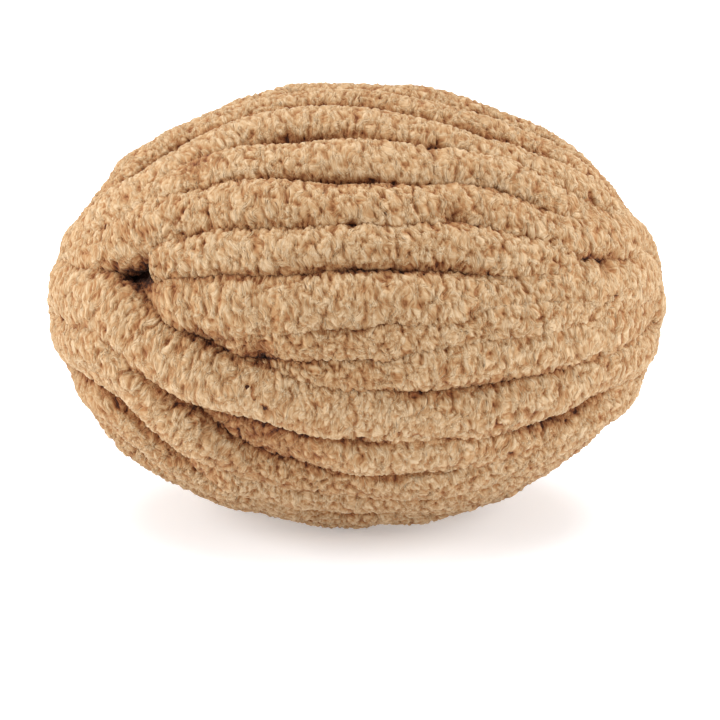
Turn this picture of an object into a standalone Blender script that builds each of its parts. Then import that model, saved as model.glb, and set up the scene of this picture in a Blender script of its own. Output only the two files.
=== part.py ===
"""Ball of thick chenille yarn: one solid of the wound, egg-shaped ball.

The yarn runs lengthwise, from end to end, turn after turn. Each turn is a closed course round the ball. The
turns are laid one after the other on a smooth core, so that a later turn lies over an earlier one, and the solid
is the outside of them all: a crown along each turn, and a groove where two turns meet.

Frame: metres, +Z up, +X along the ball, -Y its front. The origin is under the middle of the ball, on the surface
that it rests on.
"""

from collections import namedtuple
from math import radians

import bmesh
import bpy
import numpy as np

# Sizes, in metres
HALF_LENGTH = 0.1225
HALF_DEPTH = 0.0900
HALF_HEIGHT = 0.0885
SETTLE = 0.0030  # how much the ball's own weight flattens it
CENTRE_HEIGHT = HALF_HEIGHT - SETTLE
EGG = np.array((HALF_LENGTH, HALF_DEPTH, HALF_HEIGHT))
STRAND_WIDTH = 0.0186  # of the yarn under its pile
STRAND_THICKNESS = 0.0165
PILE = 0.0011  # how far the pile stands out
EDGE_DROP = 0.0065  # how far a turn's side lies below its crown
CROWN_POWER = 2.6  # 2 is a round crown, and more a flatter one with steeper sides
PILE_UP = 0.35  # share of its thickness that a turn adds where it crosses another
LEAST_CROWN, MOST_CROWN = -0.0080, -0.0008  # how far a turn's crown lies from the even egg shape
LEAST_HEIGHT = -0.0100  # where no turn lies

# Towards the ends, between these distances from the middle, the crowns come nearer the even egg by a share
END_EASE = 0.62
END_EASE_AT = (0.078, 0.106)

# Spacing of the points along a turn, and how far its stiffness evens out its height
COURSE_STEP = 0.003
CURVE_STEPS = 40  # from one stated place of a turn to the next
BRIDGING = 0.010
FOOTING = 0.004  # over this length a turn feels what is under it
WIDTH_EASE = 0.008  # and over this one its width changes
PROBES = 9000  # places on the egg where the height of the winding is kept
CENTRE_EVERY = 20  # of the places, one in so many is a centre that the squeeze is worked out for
EVENING = 0.020  # how far round the ball the winder's squeeze evens out its height
SOFTNESS = 0.0025  # the squeeze mostly feels what stands out by more than this
BUNCHING = 0.006  # it evens out the bunched ends over this length
STATIONS = 60  # along the ball, for finding out how much they are bunched

# The mesh: meridians run from end to end with the yarn, and parallels round the ball
MERIDIANS = 132
PARALLELS = 34
SMOOTHING = 0.5

# Where the angle of a turn round the ball is stated, in metres along X. The angle is 0 at the front and 90 on top.
FRONT_AT = (-0.100, -0.075, -0.038, 0.0, 0.038, 0.075, 0.100)
BACK_AT = (0.070, 0.0, -0.070)
WIDTH_AT = (-0.085, 0.0, 0.085)

# One row for each turn, in the order of winding. front: its angle at FRONT_AT, in degrees. right: the height in mm,
# above the ball's middle, at which it passes the right end. back: its angle at BACK_AT. left: the same as right.
# width: of its front at WIDTH_AT, as shares of STRAND_WIDTH.
Turn = namedtuple("Turn", "name front right back left width")
TURNS = (
    Turn("keel", (80, 90, 97, 108, 107, 108, 106), 6, (298, 294, 296), -2, (1.0, 1.0, 1.0)),
    Turn("top", (112, 110, 104, 96, 95, 98, 86), 4, (284, 283, 283), -4, (1.0, 1.0, 1.0)),
    Turn("upper_back", (94, 90, 87, 85, 80, 81, 76), -4, (272, 271, 272), 6, (1.0, 1.0, 1.0)),
    Turn("low_edge", (-42, -51, -57, -61, -55, -46, -36), -18, (119, 120, 118), -26, (1.0, 1.0, 1.0)),
    Turn("low_third", (-32, -38, -46, -48, -49, -49, -44), -12, (136, 132, 130), -12, (1.0, 1.0, 1.0)),
    Turn("under_belly", (-6, -4, -7, -10, -15, -20, -24), 0, (164, 168, 176), -2, (1.0, 1.0, 1.0)),
    Turn("low_second", (-16, -17, -24, -26, -28, -36, -38), 4, (158, 156, 160), 6, (1.0, 1.1, 1.1)),
    Turn("mid_first", (10, 8, 7, 7, 10, 14, 16), 10, (206, 204, 200), 2, (0.8, 0.85, 0.9)),
    Turn("mid_second", (4, 2, 0, -1, 2, 3, 6), 6, (190, 193, 190), -6, (0.8, 0.85, 1.2)),
    Turn("mouth", (31, 33, 31, 31, 32, 31, 34), 12, (232, 228, 224), 10, (1.02, 1.04, 0.95)),
    Turn("lens", (56, 58, 59, 57, 58, 56, 54), -4, (249, 250, 251), 4, (1.0, 1.1, 1.05)),
    Turn("brow", (62, 66, 73, 71, 67, 65, 68), 6, (261, 260, 261), 12, (1.3, 1.1, 1.0)),
    Turn("belly", (14, 17, 17, 17, 18, 21, 25), 8, (222, 217, 212), 8, (1.08, 1.2, 1.15)),
    Turn("low_light", (-6, -23, -36, -39, -40, -42, -42), -26, (148, 144, 142), -12, (1.1, 1.0, 1.0)),
    Turn("girdle", (16, 1, -7, -12, -14, -14, -15), -12, (172, 180, 182), 10, (1.35, 1.25, 1.15)),
    Turn("crest", (46, 46, 44, 42, 44, 42, 49), 24, (246, 240, 234), 24, (1.24, 1.14, 1.12)),
)

# Where a turn's front goes down under others: from x = start it deepens to its full depth at x = full
Dip = namedtuple("Dip", "name start full depth")
DIPS = (
    Dip("mouth", -0.078, -0.090, 0.016),
    Dip("mouth", 0.080, 0.098, 0.008),
    Dip("belly", -0.068, -0.086, 0.008),
    Dip("mid_first", 0.030, 0.000, 0.002),
    Dip("mid_first", -0.040, -0.065, 0.005),
    Dip("mid_second", 0.030, 0.000, 0.0025),
    Dip("mid_second", -0.025, -0.050, 0.005),
    Dip("low_second", -0.088, -0.062, 0.007),
    Dip("low_second", -0.030, 0.004, -0.007),
    Dip("low_second", 0.068, 0.092, 0.002),
    Dip("low_third", -0.045, -0.070, 0.006),
    Dip("under_belly", 0.036, 0.066, 0.006),
    Dip("low_light", -0.065, -0.042, 0.003),
    Dip("low_light", -0.010, 0.025, -0.003),
)


def on_egg(x, angle):
    """The place on the even egg shape, with its centre at the origin, at x along it and an angle round it."""
    reach = np.sqrt(1 - (x / HALF_LENGTH) ** 2)
    return np.array((x, -HALF_DEPTH * reach * np.cos(angle), HALF_HEIGHT * reach * np.sin(angle)))


def past_the_end(side, height_mm):
    """The place where a turn passes an end of the egg, at a height above its middle. side is -1 or 1."""
    height = height_mm / 1000
    return np.array((side * HALF_LENGTH * np.sqrt(1 - (height / HALF_HEIGHT) ** 2), 0.0, height))


def pulled_to_egg(points):
    """The points moved straight in or out onto the egg."""
    size = np.linalg.norm(points / EGG, axis=1)
    return points / size[:, None]


def course(turn):
    """The middle line of a turn on the egg: evenly spaced points of a closed smooth curve."""
    stops = [on_egg(x, radians(a)) for x, a in zip(FRONT_AT, turn.front)]
    stops += [past_the_end(1, turn.right)]
    stops += [on_egg(x, radians(a)) for x, a in zip(BACK_AT, turn.back)]
    stops += [past_the_end(-1, turn.left)]
    stops = np.array(stops)
    before, after, beyond = (np.roll(stops, shift, axis=0) for shift in (1, -1, -2))
    t = np.linspace(0, 1, CURVE_STEPS, endpoint=False)[:, None]
    pieces = [
        0.5 * (2 * q + (r - p) * t + (2 * p - 5 * q + 4 * r - s) * t**2 + (3 * q - p - 3 * r + s) * t**3)
        for p, q, r, s in zip(before, stops, after, beyond)
    ]
    line = pulled_to_egg(np.concatenate(pieces))
    closed = np.vstack((line, line[:1]))
    along = np.concatenate(([0], np.cumsum(np.linalg.norm(np.diff(closed, axis=0), axis=1))))
    count = round(along[-1] / COURSE_STEP)
    at = np.arange(count) * along[-1] / count
    return pulled_to_egg(np.stack([np.interp(at, along, closed[:, k]) for k in range(3)], axis=1))


def evened(values, reach):
    """Values along a closed turn, evened out over a reach along it."""
    count = len(values)
    gap = np.arange(count)
    gap = np.minimum(gap, count - gap) * COURSE_STEP
    weight = np.exp(-0.5 * (gap / reach) ** 2)
    return np.real(np.fft.ifft(np.fft.fft(values) * np.fft.fft(weight / weight.sum())))


def half_width(turn, line):
    """Half a turn's width at each point of its course."""
    share = np.interp(line[:, 0], WIDTH_AT, turn.width)
    share = np.where(line[:, 1] < 0, share, 1.0)
    return STRAND_WIDTH / 2 * evened(share, WIDTH_EASE)


def crown_drop(sideways, half):
    """How far the outside of a turn lies below its crown, at a distance to the side of its middle line."""
    return EDGE_DROP * (sideways / half) ** CROWN_POWER


def nearest(places, line):
    """For each place, its distance to a line's points and the index of the nearest one."""
    gaps = np.linalg.norm(places[:, None, :] - line[None, :, :], axis=2)
    index = gaps.argmin(axis=1)
    return gaps[np.arange(len(places)), index], index


def probe_places():
    """Places spread evenly over the egg."""
    k = np.arange(PROBES) + 0.5
    x = 1 - 2 * k / PROBES
    turn = np.pi * (1 + 5**0.5) * k
    ring = np.sqrt(1 - x**2)
    return np.stack((x, ring * np.cos(turn), ring * np.sin(turn)), axis=1) * EGG


def eased(values, low, high):
    """From 0 where values are at low, smoothly to 1 at high."""
    share = np.clip((values - low) / (high - low), 0, 1)
    return share**2 * (3 - 2 * share)


def wound():
    """Each turn with its course and the height of its crown at each point of it, from the even egg shape."""
    places = probe_places()
    height = np.zeros(len(places))
    laid = []
    for turn in TURNS:
        line = course(turn)
        gap, index = nearest(places, line)
        half = half_width(turn, line)[index]
        weight = np.exp(-0.5 * (gap / (half / 2)) ** 2) * (gap < half)
        total = evened(np.bincount(index, weight, len(line)), FOOTING) + 1e-9
        under = evened(np.bincount(index, weight * height, len(line)), FOOTING) / total
        crown = evened(under, BRIDGING) + PILE_UP * STRAND_THICKNESS
        on = gap < half
        height[on] = np.maximum(height[on], (crown[index] - crown_drop(gap, half))[on])
        laid.append((turn, line, crown))
    # The turns bunch up towards the ends. The winder's squeeze leaves the ball an even egg all the same.
    stations = np.linspace(-HALF_LENGTH, HALF_LENGTH, STATIONS)
    near = np.exp(-0.5 * ((places[:, 0] - stations[:, None]) / BUNCHING) ** 2)
    bunching = near @ height / near.sum(axis=1)
    height -= np.interp(places[:, 0], stations, bunching)
    centres = places[::CENTRE_EVERY]
    near = np.exp(-0.5 * ((places[None] - centres[:, None]) ** 2).sum(axis=2) / EVENING**2)
    usual = SOFTNESS * np.log(near @ np.exp(height / SOFTNESS) / near.sum(axis=1))
    result = []
    for turn, line, crown in laid:
        near = np.exp(-0.5 * ((centres[None] - line[:, None]) ** 2).sum(axis=2) / (EVENING / 2) ** 2)
        level = crown - near @ usual / near.sum(axis=1) - np.interp(line[:, 0], stations, bunching)
        level = evened(np.clip(level, LEAST_CROWN, MOST_CROWN), FOOTING)
        level *= 1 - END_EASE * eased(np.abs(line[:, 0]), *END_EASE_AT)
        for dip in DIPS:
            if dip.name == turn.name:
                level -= dip.depth * eased(line[:, 0], dip.start, dip.full) * (line[:, 1] < 0)
        result.append((turn, line, level))
    return result


def winding_height(places, winding):
    """The height of the winding's outside at places on the egg, from the even egg shape."""
    height = np.full(len(places), LEAST_HEIGHT)
    for turn, line, level in winding:
        gap, index = nearest(places, line)
        half = half_width(turn, line)[index] + PILE
        height = np.maximum(height, level[index] + PILE - crown_drop(gap, half))
    return height


def yarn_material():
    material = bpy.data.materials.new("camel_chenille")
    material.use_nodes = True
    shader = material.node_tree.nodes["Principled BSDF"]
    shader.inputs["Base Color"].default_value = (0.62, 0.42, 0.25, 1)
    shader.inputs["Roughness"].default_value = 0.95
    shader.inputs["Metallic"].default_value = 0.0
    return material


def yarn_ball(collection):
    mesh = bpy.data.meshes.new("yarn_ball")
    form = bmesh.new()
    bmesh.ops.create_uvsphere(form, u_segments=MERIDIANS, v_segments=PARALLELS, radius=1)
    points = np.array([v.co for v in form.verts])
    # The sphere's poles go to the ends of the ball, so that its meridians run with the yarn.
    points = points[:, [2, 0, 1]] * EGG
    outward = points / EGG**2
    outward /= np.linalg.norm(outward, axis=1)[:, None]
    points += outward * winding_height(points, wound())[:, None]
    for vertex, point in zip(form.verts, points):
        vertex.co = point
    axes = {"use_axis_x": True, "use_axis_y": True, "use_axis_z": True}
    bmesh.ops.smooth_vert(form, verts=form.verts, factor=SMOOTHING, **axes)
    for vertex in form.verts:
        vertex.co.z = max(vertex.co.z + CENTRE_HEIGHT, 0)
    form.to_mesh(mesh)
    form.free()
    mesh.materials.append(yarn_material())
    mesh.shade_smooth()
    ball = bpy.data.objects.new("yarn_ball", mesh)
    collection.objects.link(ball)
    return ball


def main():
    for leftover in list(bpy.data.objects):
        bpy.data.objects.remove(leftover)
    collection = bpy.data.collections.new("ball_of_yarn")
    bpy.context.scene.collection.children.link(collection)
    yarn_ball(collection)


main()
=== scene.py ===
from collections import namedtuple
from math import cos, pi, radians, sin

import bpy
import numpy as np
from mathutils import Matrix, Vector
from mathutils.bvhtree import BVHTree


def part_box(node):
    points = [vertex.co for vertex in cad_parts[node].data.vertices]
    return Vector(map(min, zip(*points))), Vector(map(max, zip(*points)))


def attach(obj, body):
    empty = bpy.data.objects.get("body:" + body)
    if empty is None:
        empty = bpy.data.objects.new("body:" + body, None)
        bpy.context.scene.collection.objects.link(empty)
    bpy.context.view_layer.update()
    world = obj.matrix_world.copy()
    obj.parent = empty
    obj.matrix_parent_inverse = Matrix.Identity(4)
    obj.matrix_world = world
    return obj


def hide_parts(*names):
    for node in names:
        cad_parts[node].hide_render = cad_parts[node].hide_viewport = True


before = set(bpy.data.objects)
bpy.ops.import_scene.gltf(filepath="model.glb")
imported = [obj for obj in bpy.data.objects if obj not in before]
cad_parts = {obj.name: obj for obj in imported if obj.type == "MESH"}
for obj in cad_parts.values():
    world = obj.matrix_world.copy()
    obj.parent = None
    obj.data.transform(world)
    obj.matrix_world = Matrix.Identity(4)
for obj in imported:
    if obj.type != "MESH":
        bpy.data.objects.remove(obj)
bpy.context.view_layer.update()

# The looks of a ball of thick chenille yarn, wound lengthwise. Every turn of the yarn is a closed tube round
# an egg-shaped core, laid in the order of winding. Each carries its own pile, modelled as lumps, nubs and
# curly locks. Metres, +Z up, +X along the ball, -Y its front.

NODE = "yarn_ball"
lowest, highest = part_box(NODE)

# The even egg shape, from the CAD node's box
SETTLE = 0.0030  # how much the ball's own weight flattens it
END_PILE = 0.0003  # how far the pile stands out past the egg at each end
HALF_LENGTH = (highest.x - lowest.x) / 2 - END_PILE
HALF_DEPTH = (highest.y - lowest.y) / 2
CENTRE_HEIGHT = (highest.z - SETTLE) / 2
HALF_HEIGHT = CENTRE_HEIGHT + SETTLE
EGG = np.array((HALF_LENGTH, HALF_DEPTH, HALF_HEIGHT))

# The yarn
STRAND_WIDTH = 0.0186
STRAND_THICKNESS = 0.0165
SQUARENESS = 2.05  # of a strand's section, where 2 is an ellipse
WIDTH_EASE = 0.008  # over this length a turn's width changes
WOBBLE, WOBBLE_SIZE = 0.10, 0.035  # how far its width wanders by itself, as a share, and over what length
STRAY, STRAY_SIZE = 0.0012, 0.030  # how far a turn strays up and down, and over what length
SIDE_STRAY, SIDE_STRAY_SIZE = 1.4 * STRAY, 0.026  # and how far it strays to the sides

# The winding
COURSE_STEP = 0.0020  # between the points of a turn's course
CURVE_STEPS = 60  # from one stated place of a turn to the next
PROBES = 16000  # places on the egg where the height of the winding is kept
CENTRE_EVERY = 20  # of them, one in so many is a centre that the winder's squeeze is worked out for
PILE_UP = 0.35  # share of its thickness that a turn adds where it crosses another
FOOTING = 0.004  # over this length a turn feels what is under it
BRIDGING = 0.010  # and its stiffness evens out its height over this one
EVENING = 0.020  # how far round the ball the squeeze evens out its height
SOFTNESS = 0.0025  # the squeeze mostly feels what stands out by more than this
BUNCHING = 0.006  # it evens out the bunched ends over this length
STATIONS = 60  # along the ball, for finding out how much they are bunched
LEAST_CROWN, MOST_CROWN = -0.0080, -0.0008  # how far a turn's crown lies from the egg, before any dip
# Towards the ends, between these distances from the middle, the crowns come nearer the even egg by a share
END_EASE = 0.62
END_EASE_AT = (0.078, 0.106)
PRESSED, PRESSED_EASE = 0.002, 0.004  # pile lower than the first is pressed flat, softly over the second

# The smooth core inside the turns
CORE_DEPTH = 0.0150  # from the even egg shape
CORE_RINGS, CORE_COLUMNS = 40, 64
CORE_PAINTED_LIGHT = -0.4  # painted as dark as the deepest crease: painted shade for the deep pockets where the core shows

# The turns' meshes: fine where they show, coarse where other turns hide them
GUIDE_ANGLES = 28  # round a turn, for finding out where it shows
SHOWS_FROM = 0.05  # a place shows if more than this share of its feelers is free
SHOWN_RINGS = 2  # the fine mesh takes in what shows up to this many points of the course away
SPARE_ANGLE = 0.1  # how far it goes on round the turn past what shows
HIDDEN_ANGLE = 0.8  # how far it goes to each side of the crown where nothing shows
SHOWN_EVENING = 0.003  # its edges are evened out over this length
PAST_ALL = 9  # more than any angle round a turn
START_EVENING = 0.010  # a tube starts where it is most hidden, evened over this length
RINGS_APART, HIDDEN_RINGS_APART = 0.00060, 0.0060  # along a turn, where some of it shows and where none does
COLUMNS_APART = 0.00072  # round it, in the fine mesh
HIDDEN_COLUMNS = 5  # round the rest of it
MAP_ROWS = 3  # a strand's colours are laid out in rows on a square map
MAP_MARGIN = 0.01  # left free at each side of a row, as a share of it

# Painted shade: how dark and brown the yarn is painted in its creases, where other yarn is near or over it,
# and where a turn lies deeper
FEELERS = 6  # round each guide place, slanting outwards
FEELER_START = 0.0012  # off the plain tube
FEELER = 0.016  # how far off other yarn still adds painted shade to a turn
COVER = 0.030  # and how far out it still hides it
SUNK_SHADE = 40  # how much painted shade, darker and browner, a turn gets for each metre that its crown lies deeper
SUNK_FROM, SUNK_RANGE = 0.003, (-0.002, 0.008)  # the depth that counts as none, and the limits of the rest
PILE_SHARE, FREE_SHARE = 0.95, 0.95  # what the pile and the free feelers add to a place's painted light; where they add less, it gets painted shade
DARKER = 0.91  # taken off the painted light everywhere

# The pile's relief: sizes along the strand and across it, heights, and how much painted shade lies between
# them
LUMP_ALONG, LUMP_ACROSS, LUMP_HEIGHT, LUMP_SHADE = 0.0030, 0.0035, 0.0010, 0.42
NUB_ALONG, NUB_ACROSS, NUB_HEIGHT, NUB_SHADE = 0.0016, 0.0019, 0.0007, 0.30
LOCK_ALONG, LOCK_ACROSS, LOCK_HEIGHT, LOCK_SHADE = 0.0012, 0.0021, 0.0005, 0.25
LOCK_FOLD = 1.6  # how steeply the locks fall off to the valleys between them
SHADE_POWER = 1.5  # above 1, the painted shade keeps to the bottom of the gaps
CURL, CURL_SIZE = 0.0020, 0.0034  # how far the locks and fibres swerve, and over what length
LUMP_CURL, NUB_CURL = 0.35, 0.5  # and how far the lumps and nubs, in their own sizes
JOINING = 0.008  # over this length the locks run over into those at the tube's start
DOME_STRAY, DOME_SIZE = 0.42, 0.62  # in cells: how far a lump lies off the middle, and its reach squared
SWELL, SWELL_HEIGHT = 0.0120, 0.0010  # size and height of the slow swells under all of them
LAYER_GAP = 0.05  # the fibres of each strand come from their own layer of the noise, this far apart

# Where the pile parts down to its roots, on the front: x, the angle round the ball, how wide and how deep
Pit = namedtuple("Pit", "x angle reach depth")
PITS = (
    Pit(-0.0016, 36.5, 0.0024, 0.0022),
    Pit(0.0367, 40.5, 0.0034, 0.0020),
    Pit(-0.0370, 4.5, 0.0050, 0.0026),
    Pit(0.0300, 62.0, 0.0040, 0.0018),
    Pit(-0.0610, 61.0, 0.0075, 0.0014),
    Pit(0.0950, 32.0, 0.0030, 0.0026),
)
PIT_SHADE = 0.36  # how much painted shade lies in the middle of one

# Where the angle of a turn round the ball is stated, along X. The angle is 0 at the front and 90 on top.
FRONT_AT = (-0.100, -0.075, -0.038, 0.0, 0.038, 0.075, 0.100)
BACK_AT = (0.070, 0.0, -0.070)
WIDTH_AT = (-0.085, 0.0, 0.085)

# One row for each turn, in the order of winding. front: its angle at FRONT_AT, in degrees. right: the height
# in mm, above the ball's middle, at which it passes the right end. back: its angle at BACK_AT. left: as
# right. width: of its front at WIDTH_AT, as shares of STRAND_WIDTH.
Turn = namedtuple("Turn", "name front right back left width")
TURNS = (
    Turn("keel", (80, 90, 97, 108, 107, 108, 106), 6, (298, 294, 296), -2, (1.0, 1.0, 1.0)),
    Turn("top", (112, 110, 104, 96, 95, 98, 86), 4, (284, 283, 283), -4, (1.0, 1.0, 1.0)),
    Turn("upper_back", (94, 90, 87, 85, 80, 81, 76), -4, (272, 271, 272), 6, (1.0, 1.0, 1.0)),
    Turn("low_edge", (-42, -51, -57, -61, -55, -46, -36), -18, (119, 120, 118), -26, (1.0, 1.0, 1.0)),
    Turn("low_third", (-32, -38, -46, -48, -49, -49, -44), -12, (136, 132, 130), -12, (1.0, 1.0, 1.0)),
    Turn("under_belly", (-6, -4, -7, -10, -15, -20, -24), 0, (164, 168, 176), -2, (1.0, 1.0, 1.0)),
    Turn("low_second", (-16, -17, -24, -26, -28, -36, -38), 4, (158, 156, 160), 6, (1.0, 1.1, 1.1)),
    Turn("mid_first", (10, 8, 7, 7, 10, 14, 16), 10, (206, 204, 200), 2, (0.8, 0.85, 0.9)),
    Turn("mid_second", (4, 2, 0, -1, 2, 3, 6), 6, (190, 193, 190), -6, (0.8, 0.85, 1.2)),
    Turn("mouth", (31, 33, 31, 31, 32, 31, 34), 12, (232, 228, 224), 10, (1.02, 1.04, 0.95)),
    Turn("lens", (56, 58, 59, 57, 58, 56, 54), -4, (249, 250, 251), 4, (1.0, 1.1, 1.05)),
    Turn("brow", (62, 66, 73, 71, 67, 65, 68), 6, (261, 260, 261), 12, (1.3, 1.1, 1.0)),
    Turn("belly", (14, 17, 17, 17, 18, 21, 25), 8, (222, 217, 212), 8, (1.08, 1.2, 1.15)),
    Turn("low_light", (-6, -23, -36, -39, -40, -42, -42), -26, (148, 144, 142), -12, (1.1, 1.0, 1.0)),
    Turn("girdle", (16, 1, -7, -12, -14, -14, -15), -12, (172, 180, 182), 10, (1.35, 1.25, 1.15)),
    Turn("crest", (46, 46, 44, 42, 44, 42, 49), 24, (246, 240, 234), 24, (1.24, 1.14, 1.12)),
)

# Where a turn's front goes down under others: from x = start it deepens to its full depth at x = full
Dip = namedtuple("Dip", "name start full depth")
DIPS = (
    Dip("mouth", -0.078, -0.090, 0.016),
    Dip("mouth", 0.080, 0.098, 0.008),
    Dip("belly", -0.068, -0.086, 0.008),
    Dip("mid_first", 0.030, 0.000, 0.002),
    Dip("mid_first", -0.040, -0.065, 0.005),
    Dip("mid_second", 0.030, 0.000, 0.0025),
    Dip("mid_second", -0.025, -0.050, 0.005),
    Dip("low_second", -0.088, -0.062, 0.007),
    Dip("low_second", -0.030, 0.004, -0.007),
    Dip("low_second", 0.068, 0.092, 0.002),
    Dip("low_third", -0.045, -0.070, 0.006),
    Dip("under_belly", 0.036, 0.066, 0.006),
    Dip("low_light", -0.065, -0.042, 0.003),
    Dip("low_light", -0.010, 0.025, -0.003),
)


def hashed(cells, seed):
    """A number from -1 to 1 for each whole-numbered cell, the same every time."""
    mixed = cells[..., 0] * 73856093 ^ cells[..., 1] * 19349663 ^ cells[..., 2] * 83492791 ^ seed * 97531
    mixed = (mixed ^ (mixed >> 13)) * 1274126177
    return ((mixed ^ (mixed >> 16)) & 0xFFFF) / 32767.5 - 1


def soft_noise(places, size, seed=0):
    """Smooth noise from -1 to 1, with features of a size in metres."""
    scaled = places / size
    cell = np.floor(scaled).astype(np.int64)
    part = scaled - cell
    part = part * part * (3 - 2 * part)
    total = np.zeros(len(places))
    for corner in np.ndindex(2, 2, 2):
        share = np.prod(np.where(corner, part, 1 - part), axis=1)
        total += share * hashed(cell + corner, seed)
    return total


def domes(along, across, count, seed):
    """Rounded lumps side by side on a strip, in units of a lump: from 1 on the top of each to 0 between them.
    The strip closes on itself after count lumps along."""
    cell = np.stack((np.floor(along), np.floor(across)), axis=1).astype(np.int64)
    least = np.full(len(along), np.inf)
    for step_along, step_across in np.ndindex(3, 3):
        near = cell + (step_along - 1, step_across - 1)
        key = np.stack((near[:, 0] % count, near[:, 1], np.full(len(near), seed)), axis=1)
        gap = (near[:, 0] + 0.5 + DOME_STRAY * hashed(key, 1) - along) ** 2
        gap += (near[:, 1] + 0.5 + DOME_STRAY * hashed(key, 2) - across) ** 2
        least = np.minimum(least, gap)
    return 1 - np.minimum(least / DOME_SIZE, 1)


def on_egg(x, angle):
    """The place on the even egg shape, with its centre at the origin, at x along it and an angle round it."""
    reach = np.sqrt(1 - (x / HALF_LENGTH) ** 2)
    return np.array((x, -HALF_DEPTH * reach * np.cos(angle), HALF_HEIGHT * reach * np.sin(angle)))


def past_the_end(side, height_mm):
    """The place where a turn passes an end of the egg, at a height above its middle. side is -1 or 1."""
    height = height_mm / 1000
    return np.array((side * HALF_LENGTH * np.sqrt(1 - (height / HALF_HEIGHT) ** 2), 0.0, height))


def pulled_to_egg(points):
    """The points moved straight in or out onto the egg."""
    return points / np.sqrt(((points / EGG) ** 2).sum(axis=1))[:, None]


def outward_from(points):
    """The egg's outward direction at places near its surface."""
    out = points / EGG**2
    return out / np.linalg.norm(out, axis=1)[:, None]


def course(turn):
    """The middle line of a turn on the egg: evenly spaced points of a closed smooth curve."""
    stops = [on_egg(x, radians(a)) for x, a in zip(FRONT_AT, turn.front)]
    stops += [past_the_end(1, turn.right)]
    stops += [on_egg(x, radians(a)) for x, a in zip(BACK_AT, turn.back)]
    stops += [past_the_end(-1, turn.left)]
    stops = np.array(stops)
    before, after, beyond = (np.roll(stops, shift, axis=0) for shift in (1, -1, -2))
    t = np.linspace(0, 1, CURVE_STEPS, endpoint=False)[:, None]
    pieces = [
        0.5 * (2 * q + (r - p) * t + (2 * p - 5 * q + 4 * r - s) * t**2 + (3 * q - p - 3 * r + s) * t**3)
        for p, q, r, s in zip(before, stops, after, beyond)
    ]
    line = pulled_to_egg(np.concatenate(pieces))
    closed = np.vstack((line, line[:1]))
    along = np.concatenate(([0], np.cumsum(np.linalg.norm(np.diff(closed, axis=0), axis=1))))
    count = round(along[-1] / COURSE_STEP)
    at = np.arange(count) * along[-1] / count
    return pulled_to_egg(np.stack([np.interp(at, along, closed[:, k]) for k in range(3)], axis=1))


def evened(values, reach):
    """Values along a closed turn, evened out over a reach along it."""
    count = len(values)
    gap = np.arange(count)
    gap = np.minimum(gap, count - gap) * COURSE_STEP
    weight = np.exp(-0.5 * (gap / reach) ** 2)
    return np.real(np.fft.ifft(np.fft.fft(values) * np.fft.fft(weight / weight.sum())))


def nearest(places, line):
    """For each place, its distance to a line's points and the index of the nearest one."""
    gaps = (places**2).sum(axis=1)[:, None] + (line**2).sum(axis=1) - 2 * places @ line.T
    index = gaps.argmin(axis=1)
    return np.sqrt(np.maximum(gaps[np.arange(len(places)), index], 0)), index


def probe_places():
    """Places spread evenly over the egg."""
    k = np.arange(PROBES) + 0.5
    x = 1 - 2 * k / PROBES
    turn = pi * (1 + 5**0.5) * k
    ring = np.sqrt(1 - x**2)
    return np.stack((x, ring * np.cos(turn), ring * np.sin(turn)), axis=1) * EGG


def half_width(turn, line):
    """Half a turn's width at each point of its course."""
    share = np.interp(line[:, 0], WIDTH_AT, turn.width)
    share = np.where(line[:, 1] < 0, share, 1.0)
    return STRAND_WIDTH / 2 * evened(share, WIDTH_EASE)


def crown_drop(sideways, half):
    """How far the outside of a turn lies below its crown, at a distance to the side of its middle line."""
    share = np.clip(sideways / half, 0, 1)
    return STRAND_THICKNESS / 2 * (1 - (1 - share**SQUARENESS) ** (1 / SQUARENESS))


def eased(values, low, high):
    """From 0 where values are at low, smoothly to 1 at high."""
    share = np.clip((values - low) / (high - low), 0, 1)
    return share**2 * (3 - 2 * share)


def wound():
    """Each turn with its course and the height of its crown at each point of it, from the even egg shape."""
    places = probe_places()
    height = np.zeros(len(places))
    laid = []
    for turn in TURNS:
        line = course(turn)
        gap, index = nearest(places, line)
        half = half_width(turn, line)[index]
        weight = np.exp(-0.5 * (gap / (half / 2)) ** 2) * (gap < half)
        total = evened(np.bincount(index, weight, len(line)), FOOTING) + 1e-9
        under = evened(np.bincount(index, weight * height, len(line)), FOOTING) / total
        crown = evened(under, BRIDGING) + PILE_UP * STRAND_THICKNESS
        on = gap < half
        height[on] = np.maximum(height[on], (crown[index] - crown_drop(gap, half))[on])
        laid.append((turn, line, crown))
    # The turns bunch up towards the ends. The winder's squeeze leaves the ball an even egg all the same.
    stations = np.linspace(-HALF_LENGTH, HALF_LENGTH, STATIONS)
    near = np.exp(-0.5 * ((places[:, 0] - stations[:, None]) / BUNCHING) ** 2)
    bunching = near @ height / near.sum(axis=1)
    height -= np.interp(places[:, 0], stations, bunching)
    centres = places[::CENTRE_EVERY]
    near = np.exp(-0.5 * ((places[None] - centres[:, None]) ** 2).sum(axis=2) / EVENING**2)
    usual = SOFTNESS * np.log(near @ np.exp(height / SOFTNESS) / near.sum(axis=1))
    result = []
    for turn, line, crown in laid:
        near = np.exp(-0.5 * ((centres[None] - line[:, None]) ** 2).sum(axis=2) / (EVENING / 2) ** 2)
        level = crown - near @ usual / near.sum(axis=1) - np.interp(line[:, 0], stations, bunching)
        level = evened(np.clip(level, LEAST_CROWN, MOST_CROWN), FOOTING)
        level *= 1 - END_EASE * eased(np.abs(line[:, 0]), *END_EASE_AT)
        for dip in DIPS:
            if dip.name == turn.name:
                level -= dip.depth * eased(line[:, 0], dip.start, dip.full) * (line[:, 1] < 0)
        result.append((turn, line, level))
    return result


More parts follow.
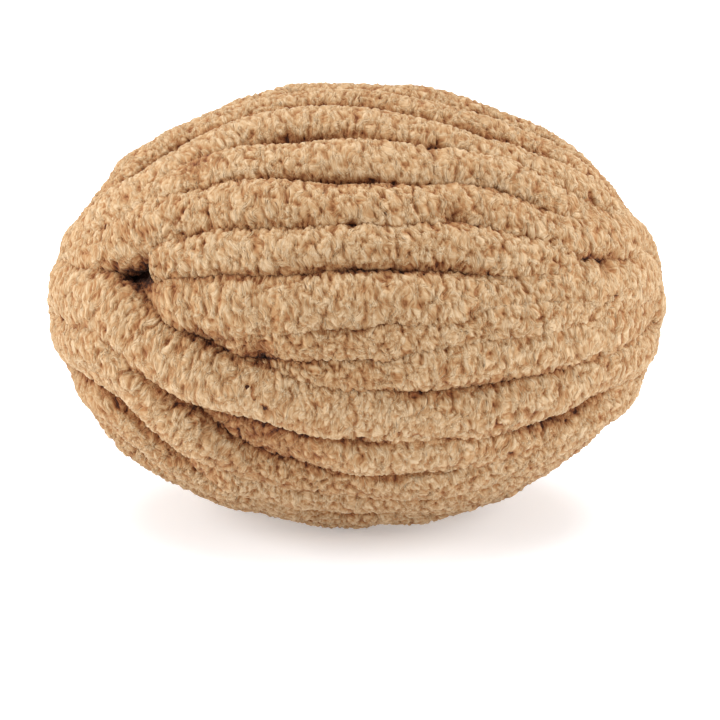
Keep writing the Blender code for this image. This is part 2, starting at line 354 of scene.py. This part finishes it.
class Strand:
    """One turn's tube: a flattened round section swept along the turn's course."""

    def __init__(self, turn, line, level, seed):
        self.turn, self.line, self.seed = turn, line, seed
        self.out = outward_from(line)
        ahead = np.roll(line, -1, axis=0) - np.roll(line, 1, axis=0)
        self.ahead = ahead / np.linalg.norm(ahead, axis=1)[:, None]
        self.side = np.cross(self.ahead, self.out)
        wobble = soft_noise(line + seed, WOBBLE_SIZE, seed)
        self.half_width = half_width(turn, line) * (1 + WOBBLE * wobble)
        self.half_thickness = STRAND_THICKNESS / 2
        rise = level - self.half_thickness + STRAY * soft_noise(line, STRAY_SIZE, seed + 60)
        stray = SIDE_STRAY * soft_noise(line, SIDE_STRAY_SIZE, seed + 61)
        # How deep the crown lies, which sets the painted shade of deeper turns
        self.sunk = np.clip(-level - SUNK_FROM, *SUNK_RANGE)
        self.middle = line + self.out * rise[:, None] + self.side * stray[:, None]

    def start_at(self, ring):
        """Makes another ring the first one."""
        for name in ("line", "out", "ahead", "side", "half_width", "middle", "sunk"):
            setattr(self, name, np.roll(getattr(self, name), -ring, axis=0))

    def skin(self, along, angle):
        """Places on the plain tube and the way out of it, at steps along it and angles round it from its
        crown."""
        low = np.floor(along).astype(int)
        part = (along - low)[:, None]
        low, high = low % len(self.line), (low + 1) % len(self.line)

        def between(values):
            return values[low] * (1 - part) + values[high] * part

        power = 2 / SQUARENESS
        across = np.sign(np.sin(angle)) * np.abs(np.sin(angle)) ** power
        up = np.sign(np.cos(angle)) * np.abs(np.cos(angle)) ** power
        wide = between(self.half_width[:, None])[:, 0] * across
        place = between(self.middle) + between(self.side) * wide[:, None]
        place += between(self.out) * (self.half_thickness * up)[:, None]
        round_out = between(self.side) * np.sin(angle)[:, None] + between(self.out) * np.cos(angle)[:, None]
        return place, round_out

    def relief(self, along, angle, place):
        """The pile over the plain tube: its height, its painted light, up to 1 on a nub and lower as painted
        shade in the gaps and pits, and combed coordinates along and across the strand for the fibres."""
        length = len(self.line) * COURSE_STEP
        down = along * COURSE_STEP
        girth = angle * STRAND_WIDTH / 2
        warp, turned = (soft_noise(place, CURL_SIZE, self.seed + extra) for extra in (20, 21))
        lumps, nubs = round(length / LUMP_ALONG), round(length / NUB_ALONG)
        lump_along = down / length * lumps + LUMP_CURL * warp
        lump = domes(lump_along, girth / LUMP_ACROSS + LUMP_CURL * turned, lumps, self.seed)
        nub_along = down / length * nubs + NUB_CURL * turned
        nub = domes(nub_along, girth / NUB_ACROSS + NUB_CURL * warp, nubs, self.seed + 30)
        combed = np.stack(
            (down + CURL * warp, girth + CURL * turned, np.full(len(down), LAYER_GAP * self.seed)), axis=1
        )
        closing = eased(down, length - JOINING, length)
        lock = 0
        for share, lap in ((1 - closing, 0), (closing, length)):
            spots = (combed - (lap, 0, 0)) / (LOCK_ALONG, LOCK_ACROSS, 1)
            lock = lock + share * (1 - LOCK_FOLD * np.abs(soft_noise(spots, 1, self.seed + 50)))
        swell = soft_noise(place, SWELL, self.seed + 40)
        height = LUMP_HEIGHT * lump + NUB_HEIGHT * nub + LOCK_HEIGHT * lock + SWELL_HEIGHT * swell
        # Painted shade in the gaps between lumps, nubs and locks
        painted_light = 1 - LUMP_SHADE * (1 - lump) ** SHADE_POWER
        painted_light = painted_light - NUB_SHADE * (1 - nub) ** SHADE_POWER
        painted_light = painted_light - LOCK_SHADE * (1 - lock) ** SHADE_POWER
        # Each pit is lowered and gets painted shade in its middle
        for pit in PITS:
            gap = np.linalg.norm(pulled_to_egg(place) - on_egg(pit.x, radians(pit.angle)), axis=1)
            parted = np.exp(-((gap / pit.reach) ** 2))
            height = height - pit.depth * parted
            painted_light = painted_light - PIT_SHADE * parted
        return height, painted_light, combed


def guide_grid(strand):
    """Places on a strand's plain tube, with the way out of it there, ring by ring."""
    angles = np.arange(GUIDE_ANGLES) * 2 * pi / GUIDE_ANGLES - pi
    rings = len(strand.line)
    along = np.repeat(np.arange(rings), GUIDE_ANGLES).astype(float)
    return strand.skin(along, np.tile(angles, rings))


def corner_spots(rings, columns):
    """The ring and the column of each corner of a closed tube's triangles, counted on past the last ones."""
    ring, column = (grid.ravel() for grid in np.mgrid[0:rings, 0:columns])
    near, far = (ring, column), (ring + 1, column + 1)
    corners = (near, far, (ring, column + 1)), (near, (ring + 1, column), far)
    return np.concatenate([np.stack([np.stack(spot, axis=1) for spot in three], axis=1) for three in corners])


def tube_triangles(spots, rings, columns):
    """The triangles of a closed tube, as the numbers of its points, from corner_spots."""
    return spots[..., 0] % rings * columns + spots[..., 1] % columns


def settled(points):
    """Points moved up with the ball to stand on the floor, the lowest pressed flat."""
    points = points + (0, 0, CENTRE_HEIGHT)
    low = points[:, 2] < PRESSED
    points[low, 2] = PRESSED * np.exp((points[low, 2] - PRESSED) / PRESSED_EASE)
    return points


def feel(strand, solid):
    """For each place of a strand's guide grid, the share of slanting feelers that meet no other yarn, and 0
    where more yarn covers it."""
    place, out = guide_grid(strand)
    ahead = np.repeat(strand.ahead, GUIDE_ANGLES, axis=0)
    aside = np.cross(ahead, out)
    start = place + out * FEELER_START

    def free(way, reach):
        return np.array([solid.ray_cast(Vector(s), Vector(w), reach)[0] is None for s, w in zip(start, way)])

    around = np.arange(FEELERS) * 2 * pi / FEELERS
    feelers = [free(out + ahead * cos(turn) + aside * sin(turn), FEELER) for turn in around]
    open_share = np.mean(feelers, axis=0) * free(outward_from(place), COVER)
    return open_share.reshape(len(strand.line), GUIDE_ANGLES)


def near_rings(values, reach, pick):
    """The least or greatest of each ring's values within a reach to each side."""
    return pick([np.roll(values, shift, axis=0) for shift in range(-reach, reach + 1)], axis=0)


def tube_arrays(strand, solid):
    """A strand's closed tube with its pile: points, triangles, painted light with painted shade in its
    creases, and at each corner of the triangles its combed coordinates and its place on the strand's map."""
    free = feel(strand, solid)
    start = evened(free.mean(axis=1), START_EVENING).argmin()
    strand.start_at(start)
    free = np.roll(free, -start, axis=0)
    rings = len(strand.line)
    angles = np.arange(GUIDE_ANGLES) * 2 * pi / GUIDE_ANGLES - pi
    shows = free > SHOWS_FROM
    low = near_rings(np.where(shows, angles, PAST_ALL).min(axis=1), SHOWN_RINGS, np.min)
    high = near_rings(np.where(shows, angles, -PAST_ALL).max(axis=1), SHOWN_RINGS, np.max)
    some = low < high
    low = evened(np.where(some, low, -HIDDEN_ANGLE), SHOWN_EVENING) - SPARE_ANGLE
    high = evened(np.where(some, high, HIDDEN_ANGLE), SHOWN_EVENING) + SPARE_ANGLE
    apart = np.where(some, RINGS_APART, HIDDEN_RINGS_APART)
    passed = np.concatenate(([0], np.cumsum(COURSE_STEP / apart)))
    count = round(passed[-1])
    along = np.interp(np.arange(count) * passed[-1] / count, passed, np.arange(rings + 1))
    low = np.interp(along, np.arange(rings), low)[:, None]
    high = np.interp(along, np.arange(rings), high)[:, None]

    shown_width = np.median((high - low)) * STRAND_WIDTH / 2
    shown_columns = round(shown_width / COLUMNS_APART)
    columns = shown_columns + HIDDEN_COLUMNS
    column = np.arange(columns)
    angle = np.where(
        column < shown_columns,
        low + (high - low) * column / shown_columns,
        high + (2 * pi + low - high) * (column - shown_columns) / HIDDEN_COLUMNS,
    ).ravel()
    angle = (angle + pi) % (2 * pi) - pi
    along = np.repeat(along, columns)
    place, round_out = strand.skin(along, angle)
    height, open_share, combed = strand.relief(along, angle, place)
    around = (angle + pi) * GUIDE_ANGLES / (2 * pi)
    below, left = np.floor(along).astype(int), np.floor(around).astype(int)
    part, over = along - below, around - left
    freedom = np.zeros(len(along))
    for ring, ring_share in ((below, 1 - part), (below + 1, part)):
        for spot, spot_share in ((left, 1 - over), (left + 1, over)):
            freedom += free[ring % rings, spot % GUIDE_ANGLES] * ring_share * spot_share
    sunk = np.interp(along, np.arange(rings), strand.sunk)
    # Painted shade: darker in the pile's gaps, where feelers meet other yarn nearby, and where the crown lies
    # deeper
    painted_light = PILE_SHARE * open_share + FREE_SHARE * freedom - DARKER - SUNK_SHADE * sunk

    spots = corner_spots(count, columns)
    triangles = tube_triangles(spots, count, columns)
    combed = combed[triangles]
    combed[..., 0] += (spots[..., 0] == count) * rings * COURSE_STEP
    row = spots[:, :1, 0] * MAP_ROWS // count
    map_x = spots[..., 0] * MAP_ROWS / count - row
    map_y = (row + MAP_MARGIN + (1 - 2 * MAP_MARGIN) * spots[..., 1] / columns) / MAP_ROWS
    return place + round_out * height[:, None], triangles, painted_light, combed, np.stack((map_x, map_y), axis=-1)


def mesh_of(name, points, triangles, painted_light, combed, spread):
    """A smooth mesh that carries its painted light and painted shade, how it is combed and, if given, its
    map.
    """
    mesh = bpy.data.meshes.new(name)
    mesh.vertices.add(len(points))
    mesh.vertices.foreach_set("co", points.astype(np.float32).ravel())
    mesh.loops.add(triangles.size)
    mesh.loops.foreach_set("vertex_index", triangles.astype(np.int32).ravel())
    mesh.polygons.add(len(triangles))
    mesh.polygons.foreach_set("loop_start", np.arange(0, triangles.size, 3, dtype=np.int32))
    mesh.update(calc_edges=True)
    layer = mesh.attributes.new("painted_light", "FLOAT", "POINT")
    layer.data.foreach_set("value", painted_light.astype(np.float32))
    layer = mesh.attributes.new("combed", "FLOAT_VECTOR", "CORNER")
    layer.data.foreach_set("vector", combed.astype(np.float32).ravel())
    if spread is not None:
        layer = mesh.uv_layers.new(name="OFBake")
        layer.data.foreach_set("uv", spread.astype(np.float32).ravel())
    mesh.validate()
    mesh.shade_smooth()
    return mesh


def set_inputs(node, values):
    """Sets a node's inputs by their names."""
    for name, value in values.items():
        node.inputs[name].default_value = value


def add_node(tree, kind, **settings):
    """A new node of a kind, with its settings."""
    node = tree.nodes.new("ShaderNode" + kind)
    for name, value in settings.items():
        setattr(node, name, value)
    return node


def add_math(tree, operation, *values):
    """The result of an operation on other nodes' results and plain numbers."""
    node = add_node(tree, "Math", operation=operation)
    for socket, value in zip(node.inputs, values):
        if isinstance(value, float):
            socket.default_value = value
        else:
            tree.links.new(value, socket)
    return node.outputs["Value"]


def add_fibres(tree, width, length):
    """A noise of fibres across the strand, of a width and a length."""
    place = add_node(tree, "Attribute", attribute_name="combed")
    scale = add_node(tree, "Mapping")
    set_inputs(scale, {"Scale": (1 / width, 1 / length, 1)})
    tree.links.new(place.outputs["Vector"], scale.inputs["Vector"])
    noise = add_node(tree, "TexNoise")
    set_inputs(noise, {"Scale": 1.0, "Detail": 1.0, "Roughness": 0.5, "Distortion": 0.6})
    tree.links.new(scale.outputs["Vector"], noise.inputs["Vector"])
    return noise.outputs["Fac"]


def add_billows(tree, noise):
    """Rounded from a noise: 0 along thin valleys, up to about 1 between them."""
    folded = add_math(tree, "ABSOLUTE", add_math(tree, "SUBTRACT", noise, 0.5))
    return add_math(tree, "TANH", add_math(tree, "MULTIPLY", folded, BILLOW_STEEPNESS))


# The yarn's fibres: their width and length, how high they stand as bump, and how much paler they are painted
# on top, as painted highlight
CURL_WIDTH, CURL_LENGTH, CURL_BUMP, CURL_SHADE = 0.0016, 0.0027, 0.0003, 0.30
WISP_WIDTH, WISP_LENGTH, WISP_BUMP, WISP_SHADE = 0.0006, 0.0010, 0.0007, 0.55
BILLOW_STEEPNESS = 3.6
EVEN_SHADE = -0.46  # makes up for what both add on the average
PILE_LOOK = {
    "Roughness": 0.92,
    "Sheen Weight": 0.08,
    "Sheen Roughness": 0.5,
    "Sheen Tint": (1.0, 0.86, 0.70, 1),
    "Specular IOR Level": 0.25,
}
# Its colours, from the painted shade of the deepest crease to the painted light of the most open nub
COLOURS = (
    (0.0, (0.045, 0.011, 0.004, 1)),
    (0.22, (0.20, 0.060, 0.016, 1)),
    (0.50, (0.35, 0.165, 0.062, 1)),
    (0.72, (0.45, 0.270, 0.128, 1)),
    (1.0, (0.60, 0.430, 0.262, 1)),
)


def chenille():
    """Camel pile: painted shade makes it darker and redder deep down, painted light makes it paler on its
    nubs and fibre tops, with curly fibres.
    """
    material = bpy.data.materials.new("camel_chenille")
    material.use_nodes = True
    tree = material.node_tree
    link = tree.links.new
    shader = tree.nodes["Principled BSDF"]
    set_inputs(shader, PILE_LOOK)

    curls = add_billows(tree, add_fibres(tree, CURL_WIDTH, CURL_LENGTH))
    wisps = add_fibres(tree, WISP_WIDTH, WISP_LENGTH)
    bump = add_node(tree, "Bump")
    set_inputs(bump, {"Strength": 1.0, "Distance": CURL_BUMP})
    link(curls, bump.inputs["Height"])
    fine_bump = add_node(tree, "Bump")
    set_inputs(fine_bump, {"Strength": 1.0, "Distance": WISP_BUMP})
    link(wisps, fine_bump.inputs["Height"])
    link(bump.outputs["Normal"], fine_bump.inputs["Normal"])
    link(fine_bump.outputs["Normal"], shader.inputs["Normal"])

    painted_light = add_node(tree, "Attribute", attribute_name="painted_light")
    # Painted highlight on the fibres, from the same noises as their bumps
    shade = add_math(tree, "MULTIPLY_ADD", wisps, WISP_SHADE, EVEN_SHADE)
    shade = add_math(tree, "MULTIPLY_ADD", curls, CURL_SHADE, shade)
    by_depth = add_node(tree, "ValToRGB")
    ramp = by_depth.color_ramp
    ramp.elements[0].position, ramp.elements[0].color = COLOURS[0]
    ramp.elements[1].position, ramp.elements[1].color = COLOURS[-1]
    for place, colour in COLOURS[1:-1]:
        ramp.elements.new(place).color = colour
    link(add_math(tree, "ADD", painted_light.outputs["Fac"], shade), by_depth.inputs["Fac"])
    link(by_depth.outputs["Color"], shader.inputs["Base Color"])
    return material


def core_arrays():
    """Points and triangles of the smooth core that closes the gaps between turns."""
    size = EGG - CORE_DEPTH
    rings, columns = CORE_RINGS, CORE_COLUMNS
    tilt = np.linspace(0, pi, rings + 2)[1:-1]
    turn = np.arange(columns) * 2 * pi / columns
    a, b = (grid.ravel() for grid in np.meshgrid(tilt, turn, indexing="ij"))
    body = np.stack((np.cos(a), np.sin(a) * np.cos(b), np.sin(a) * np.sin(b)), axis=1)
    points = np.vstack((body, ((1, 0, 0), (-1, 0, 0)))) * size
    ring, column = (grid.ravel() for grid in np.mgrid[0 : rings - 1, 0:columns])
    p = ring * columns + column
    q = ring * columns + (column + 1) % columns
    sides = np.vstack((np.stack((p, p + columns, q), 1), np.stack((q, p + columns, q + columns), 1)))
    first = np.arange(columns)
    second = (first + 1) % columns
    start = np.stack((first, second, np.full(columns, len(body))), 1)
    last = (rings - 1) * columns
    end = np.stack((last + second, last + first, np.full(columns, len(body) + 1)), 1)
    return points, np.vstack((sides, start, end))


def make_piece(name, material, points, triangles, painted_light, combed, spread=None):
    """A piece of the ball, put on the floor with it."""
    mesh = mesh_of(name, settled(points), triangles, painted_light, combed, spread)
    mesh.materials.append(material)
    piece = bpy.data.objects.new(name, mesh)
    bpy.context.scene.collection.objects.link(piece)
    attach(piece, "root")
    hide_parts(NODE)


def make_ball():
    """The core and every turn. A solid of the plain tubes shows where each turn is hidden."""
    material = chenille()
    strands = [Strand(*row, seed) for seed, row in enumerate(wound(), 1)]
    core = core_arrays()
    tubes = []
    for strand in strands:
        size = (len(strand.line), GUIDE_ANGLES)
        tubes.append((guide_grid(strand)[0], tube_triangles(corner_spots(*size), *size)))
    points, triangles, first = [], [], 0
    for some, faces in [*tubes, core]:
        points.append(some)
        triangles.append(faces + first)
        first += len(some)
    solid = BVHTree.FromPolygons(np.concatenate(points).tolist(), np.concatenate(triangles).tolist())

    # The core gets painted shade, as dark as the deepest crease
    make_piece("core", material, *core, np.full(len(core[0]), CORE_PAINTED_LIGHT), core[0][core[1]])
    for strand in strands:
        make_piece("turn_" + strand.turn.name, material, *tube_arrays(strand, solid))


# The view, as photographed
VIEW_DOWN = radians(18)
VIEW_DISTANCE = 0.95
SENSOR_WIDTH_MM = 36
VIEW_WIDTH = 0.2902  # of the picture, at the ball
BALL_LEFT, BALL_UP = 0.0016, 0.0222  # of the ball's middle from the picture's

# The light and the floor
SKY_COLOUR, SKY_STRENGTH = (1.0, 0.99, 1.0, 1), 0.48
OVERHEAD_AT, OVERHEAD_POWER, OVERHEAD_SPREAD = (0.0, 0.3, 1.5), 2.7, radians(60)
BOXES = (("left_box", (-1.1, -0.2, 0.55), 11), ("right_box", (1.1, -0.2, 0.55), 9))  # name, place, power
BOX_SIZE = 0.8
FLOOR_REACH = 6.0
FLOOR_LOOK = {
    "Base Color": (0.88, 0.91, 0.95, 1),
    "Emission Color": (1.0, 1.0, 1.0, 1),
    "Emission Strength": 0.31,
    "Roughness": 0.9,
}


def make_camera():
    """The camera, looking along +Y and down at the ball."""
    toward = Vector((0, cos(VIEW_DOWN), -sin(VIEW_DOWN)))
    up = Vector((0, sin(VIEW_DOWN), cos(VIEW_DOWN)))
    aim = Vector((BALL_LEFT, 0, CENTRE_HEIGHT)) - up * BALL_UP
    data = bpy.data.cameras.new("view")
    data.sensor_width = SENSOR_WIDTH_MM
    data.lens = SENSOR_WIDTH_MM * VIEW_DISTANCE / VIEW_WIDTH
    camera = bpy.data.objects.new("view", data)
    right = toward.cross(up)
    turned = Matrix((right, up, -toward)).transposed().to_4x4()
    camera.matrix_world = Matrix.Translation(aim - toward * VIEW_DISTANCE) @ turned
    bpy.context.scene.collection.objects.link(camera)
    bpy.context.scene.camera = camera


def add_lamp(name, data, place):
    """A lamp at a place, turned to the ball's middle."""
    lamp = bpy.data.objects.new(name, data)
    lamp.location = place
    lamp.rotation_euler = (Vector((0, 0, CENTRE_HEIGHT)) - Vector(place)).to_track_quat("-Z", "Y").to_euler()
    bpy.context.scene.collection.objects.link(lamp)


def make_studio():
    """The sky, the lamps and the floor."""
    world = bpy.data.worlds.new("studio")
    world.use_nodes = True
    set_inputs(world.node_tree.nodes["Background"], {"Color": SKY_COLOUR, "Strength": SKY_STRENGTH})
    bpy.context.scene.world = world
    bpy.context.scene.view_settings.view_transform = "Standard"

    overhead = bpy.data.lights.new("overhead", "SUN")
    overhead.energy = OVERHEAD_POWER
    overhead.angle = OVERHEAD_SPREAD
    add_lamp("overhead", overhead, OVERHEAD_AT)
    for name, place, power in BOXES:
        box = bpy.data.lights.new(name, "AREA")
        box.shape = "DISK"
        box.size = BOX_SIZE
        box.energy = power
        add_lamp(name, box, place)

    mesh = bpy.data.meshes.new("floor")
    r = FLOOR_REACH
    corners = [(-r, -r, 0), (r, -r, 0), (r, r, 0), (-r, r, 0)]
    mesh.from_pydata(corners, [], [(0, 1, 2, 3)])
    material = bpy.data.materials.new("pale_floor")
    material.use_nodes = True
    set_inputs(material.node_tree.nodes["Principled BSDF"], FLOOR_LOOK)
    mesh.materials.append(material)
    floor = bpy.data.objects.new("floor", mesh)
    bpy.context.scene.collection.objects.link(floor)


make_camera()
make_studio()
make_ball()
